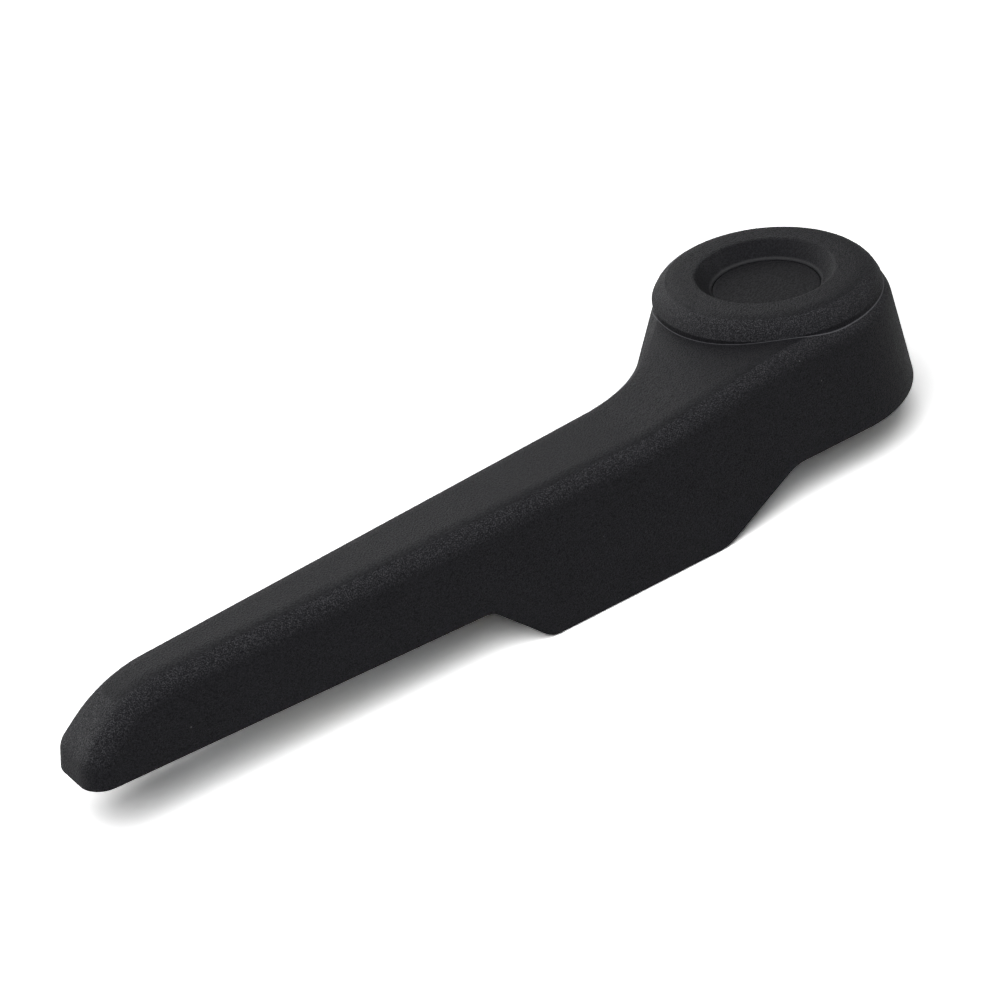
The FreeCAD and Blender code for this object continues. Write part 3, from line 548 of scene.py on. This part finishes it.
# %% Finish the solids
FINISHES = {
    "lever_shell": lever_plastic,
    "hub_cap": cap_plastic,
    "core_plate": plate_zinc,
    "drive_sleeve": sleeve_steel,
    "retaining_clip": clip_steel,
}
for name, finish in FINISHES.items():
    mesh = nodes[name].data
    mesh.materials.clear()
    mesh.materials.append(finish)
print("finished:", sorted(FINISHES))

# %% [markdown]
# ## Screws
# The five screws are pan-head self-tappers with a cross recess. The solid has a plain head
# and shank, which is enough to hold a plate, but from behind the recess is what tells a
# reader that this is a screw. A boolean cut would leave long thin triangles. Here the whole
# screw is one closed surface instead: a profile turned round the axis, whose shank swells in
# and out with the thread, and whose head is pushed up inside the cross.

# %% Screw sizes, in millimetres
HEAD_HEIGHT = 1.9
HEAD_ROUND = 1.2
SHANK_RADIUS = 1.45
POINT_LENGTH = 1.45
POINT_SHARE = 0.96  # the cone stops just short of its tip, where a ring would have no size
AXIS_GAP = 0.02  # radius of the small flat that closes the middle of the head
THREAD_PITCH = 1.3
THREAD_DEPTH = 0.25
THREAD_AFTER_HEAD = 0.3
THREAD_BEFORE_END = 1.0
RECESS_HALF = 0.42
RECESS_SLOPE = 0.08
RECESS_REACH = 1.55
RECESS_FADE = 0.5
RECESS_DEPTH = 1.15
FACE_ROWS, ROUND_ROWS, SHANK_ROWS, POINT_ROWS = 26, 8, 60, 8
TURN_STEPS = 96
print("screw shank, mm:", 2 * SHANK_RADIUS, "thread pitch, mm:", THREAD_PITCH)

# %% [markdown]
# The profile follows the plain screw's box, so the new screw sits where the old one sat. It
# is worked out first, as one list of radii and one of heights.

# %% Screw profile


def screw_profile(head, bottom, top):
    """Radius and height from the head's middle to the point.

    Flat face; quarter round of radius R, r = head - R (1 - sin a), z = bottom + R (1 - cos a);
    straight side and underside; shank; cone of length L, r = shank (1 - t), z = top - L (1 - t).
    """
    under = bottom + HEAD_HEIGHT
    face = np.linspace(AXIS_GAP, head - HEAD_ROUND, FACE_ROWS)
    angle = np.linspace(0, math.pi / 2, ROUND_ROWS)[1:]
    shank = np.linspace(under, top - POINT_LENGTH, SHANK_ROWS)[1:]
    taper = 1 - np.linspace(0, POINT_SHARE, POINT_ROWS)[1:]
    radius = np.concatenate([face, head - HEAD_ROUND * (1 - np.sin(angle)), [head, SHANK_RADIUS],
                             np.full_like(shank, SHANK_RADIUS), SHANK_RADIUS * taper])
    height = np.concatenate([np.full_like(face, bottom), bottom + HEAD_ROUND * (1 - np.cos(angle)),
                             [under, under], shank, top - POINT_LENGTH * taper])
    return radius, height


print("rows of a screw's profile:", len(screw_profile(3.0, 0.0, 10.0)[0]))

# %% [markdown]
# Turned round the axis, the profile becomes a grid: one row for each of its points, one
# column for each step of the turn. Thread and recess are added to the whole grid at once.

# %% Screw surface


def smooth_step(low, high, value):
    """0 below low, 1 above high, and an S between."""
    t = np.clip((value - low) / (high - low), 0, 1)
    return t * t * (3 - 2 * t)


def screw_points(low, high):
    """The profile turned round the screw's axis, with thread and recess, as a grid of points.

    On the shank the radius falls by a triangle wave of height / pitch - angle / turn, which is
    the thread. On the head's face the height rises inside a cross: where the smaller of |x|
    and |y| is under half the slot's width and the larger is under its reach.
    """
    head = (high.x - low.x) / 2 / MM
    bottom, top = low.z / MM, high.z / MM
    radius, height = screw_profile(head, bottom, top)
    turn = np.arange(TURN_STEPS) / TURN_STEPS
    r = np.repeat(radius[:, None], TURN_STEPS, 1)
    z = np.repeat(height[:, None], TURN_STEPS, 1)
    on_shank = (z > bottom + HEAD_HEIGHT + THREAD_AFTER_HEAD) & (z < top - THREAD_BEFORE_END)
    wave = np.abs(2 * ((z / THREAD_PITCH - turn) % 1) - 1)
    r = r - on_shank * THREAD_DEPTH * wave
    x = r * np.cos(2 * math.pi * turn)
    y = r * np.sin(2 * math.pi * turn)
    small = np.minimum(np.abs(x), np.abs(y))
    large = np.maximum(np.abs(x), np.abs(y))
    across = 1 - smooth_step(RECESS_HALF - RECESS_SLOPE, RECESS_HALF + RECESS_SLOPE, small)
    along = 1 - smooth_step(RECESS_REACH - RECESS_FADE, RECESS_REACH, large)
    z[:FACE_ROWS] += (across * along * RECESS_DEPTH)[:FACE_ROWS]
    middle = (low + high) / 2 / MM
    return np.stack([x + middle.x, y + middle.y, z], -1) * MM


print("points of a screw:", screw_points(*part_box("plate_screw_1")).shape)

# %% [markdown]
# The grid closes into rings, and its first and last ring get one face each, so the surface is
# closed. Whether its faces point outwards can't be seen in a render, but it can be measured:
# the volume that they enclose comes out negative when they point inwards.

# %% Closed meshes


def grid_faces(rows, columns):
    """Quads of a grid whose columns close into a ring, and one face for each end."""
    row = np.arange(rows - 1)[:, None] * columns
    here = np.arange(columns)[None, :]
    after = (here + 1) % columns
    quads = np.stack([row + here, row + columns + here, row + columns + after, row + after], -1)
    first = np.arange(columns)
    last = first + (rows - 1) * columns
    return quads.reshape(-1, 4).tolist() + [first[::-1].tolist(), last.tolist()]


def signed_volume(mesh):
    """Sum over the triangles of a . (b x c) / 6, positive where faces point outwards."""
    mesh.calc_loop_triangles()
    corners = np.empty(len(mesh.loop_triangles) * 3, np.int32)
    mesh.loop_triangles.foreach_get("vertices", corners)
    points = np.empty(len(mesh.vertices) * 3, np.float32)
    mesh.vertices.foreach_get("co", points)
    a, b, c = points.reshape(-1, 3).astype(float)[corners.reshape(-1, 3)].transpose(1, 0, 2)
    return float((a * np.cross(b, c)).sum() / 6)


def make_piece(name, points, faces, finish, body):
    """A smooth closed mesh from points and faces, turned outwards, riding on a body."""
    mesh = bpy.data.meshes.new(name)
    mesh.from_pydata(points.tolist(), [], faces)
    mesh.validate()
    mesh.shade_smooth()
    mesh.materials.append(finish)
    if signed_volume(mesh) < 0:
        mesh.flip_normals()
    piece = bpy.data.objects.new(name, mesh)
    bpy.context.scene.collection.objects.link(piece)
    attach(piece, body)
    return piece


print("faces of a closed grid of 3 by 4 points:", len(grid_faces(3, 4)))

# %% [markdown]
# Each new screw rides on the lever's body and takes the place of the plain one. They are all
# alike, so one function makes them from the boxes of the plain screws. They come from one
# die, so their volumes should come out the same.

# %% Make the screws


def make_screw(number):
    """A detailed screw in the place of a plain one."""
    node = f"plate_screw_{number}"
    points = screw_points(*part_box(node))
    faces = grid_faces(*points.shape[:2])
    piece = make_piece(f"cross_screw_{number}", points.reshape(-1, 3), faces, screw_zinc,
                       "handle")
    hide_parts(node)
    return piece


screws = [make_screw(number) for number in range(1, 6)]
for screw in screws:
    volume = signed_volume(screw.data) / MM ** 3
    print(screw.name, "faces:", len(screw.data.polygons), "mm3:", round(volume, 1))

# %% [markdown]
# ## Floor
# The object lies on a white table that runs out of the picture, and a plane takes its shadow.
# The plane reflects about half of the light, so it throws little up at the object. In the
# photograph the paper is burnt out to white, and the shadow is dark only right beside the
# object. So the camera sees the plane's colour about four times over, shadow and all, and the
# gloss on the object sees it as plain white. No light is added to what falls on the object.

# %% Floor
FLOOR_HALF = 3.0
FLOOR_COLOUR = "#bcbcbc"
CAMERA_GAIN = 3.2
GLOSS_GAIN = 1.1


def table_white():
    """Matt white: its colour times 1 plus a gain, which the camera and the gloss have each."""
    material, tree = new_material("matt_white_tabletop")
    path = add(tree, "ShaderNodeLightPath")
    mirrored = add(tree, "ShaderNodeMath", {
        0: path.outputs["Is Glossy Ray"],
        1: path.outputs["Is Transmission Ray"],
    }, operation="MAXIMUM")
    in_gloss = add(tree, "ShaderNodeMath", {0: mirrored, 1: GLOSS_GAIN, 2: 1.0},
                   operation="MULTIPLY_ADD")
    times = add(tree, "ShaderNodeMath", {
        0: path.outputs["Is Camera Ray"],
        1: CAMERA_GAIN,
        2: in_gloss,
    }, operation="MULTIPLY_ADD")
    shown = add(tree, "ShaderNodeVectorMath", {0: linear(FLOOR_COLOUR)[:3], "Scale": times},
                operation="SCALE")
    paper = add(tree, "ShaderNodeBsdfDiffuse", {"Color": shown})
    add(tree, "ShaderNodeOutputMaterial", {"Surface": paper})
    return material


def make_floor(height):
    """One large square under the object's lowest point."""
    corners = [(-1, -1), (1, -1), (1, 1), (-1, 1)]
    mesh = bpy.data.meshes.new("tabletop")
    mesh.from_pydata([(x * FLOOR_HALF, y * FLOOR_HALF, height) for x, y in corners], [],
                     [(0, 1, 2, 3)])
    mesh.materials.append(table_white())
    floor = bpy.data.objects.new("tabletop", mesh)
    bpy.context.scene.collection.objects.link(floor)
    return floor


floor = make_floor(cad_low.z)
print("floor at, mm:", round(cad_low.z / MM, 2), "side, m:", round(floor.dimensions.x, 1))

# %% [markdown]
# ## Light
# The shadow in the photograph is soft. It is darkest right under the arm and gone a centimetre
# further on, so the key light is large and high and a little in front. Its power lets a white
# surface that faces up come out a little under white, and no pale thing would burn out. The
# tops are lighter than the sides though both are the same black, because they mirror a bright
# wall behind the object at a low angle, and the tip's end and the dish mirror the walls at the
# sides. Three more softboxes stand for those walls. They show in the gloss only, because their
# light on the table would fill the shadow under the arm. The rest of the room is a weak, even
# white.

# %% Light
BACK = Vector((LOOK.x, LOOK.y, 0)).normalized()
LEFT = UP.cross(BACK)
ROOM_STRENGTH = 0.065
# Each softbox: metres back, left and up from the object, its side in metres, its watts, and
# whether it shows in the gloss only
SOFTBOXES = {
    "key_softbox": (-0.65, 0.2, 1.1, 1.3, 17.0, False),
    "back_wall": (0.95, 0.3, 0.5, 0.9, 8.5, True),
    "left_wall": (0.35, 1.1, 0.35, 0.8, 16.0, True),
    "right_wall": (0.2, -1.0, 0.75, 0.8, 11.0, True),
}


def softbox(name, back, left, up, side, power, gloss_only):
    """A square area lamp that faces the middle of the object."""
    place = BACK * back + LEFT * left + UP * up
    data = bpy.data.lights.new(name, "AREA")
    data.shape = "SQUARE"
    data.size = side
    data.energy = power
    lamp = bpy.data.objects.new(name, data)
    bpy.context.scene.collection.objects.link(lamp)
    lamp.location = AIM + place
    lamp.rotation_mode = "QUATERNION"
    lamp.rotation_quaternion = (-place).to_track_quat("-Z", "Y")
    lamp.visible_diffuse = not gloss_only
    return lamp


def white_room():
    """A world of one even white."""
    world = bpy.data.worlds.new("white_room")
    world.use_nodes = True
    background = world.node_tree.nodes["Background"]
    background.inputs["Color"].default_value = linear("#ffffff")
    background.inputs["Strength"].default_value = ROOM_STRENGTH
    return world


lamps = [softbox(name, *numbers) for name, numbers in SOFTBOXES.items()]
bpy.context.scene.world = white_room()
bpy.context.scene.view_settings.view_transform = "Standard"
print("lamps, W:", {lamp.name: round(lamp.data.energy, 1) for lamp in lamps})
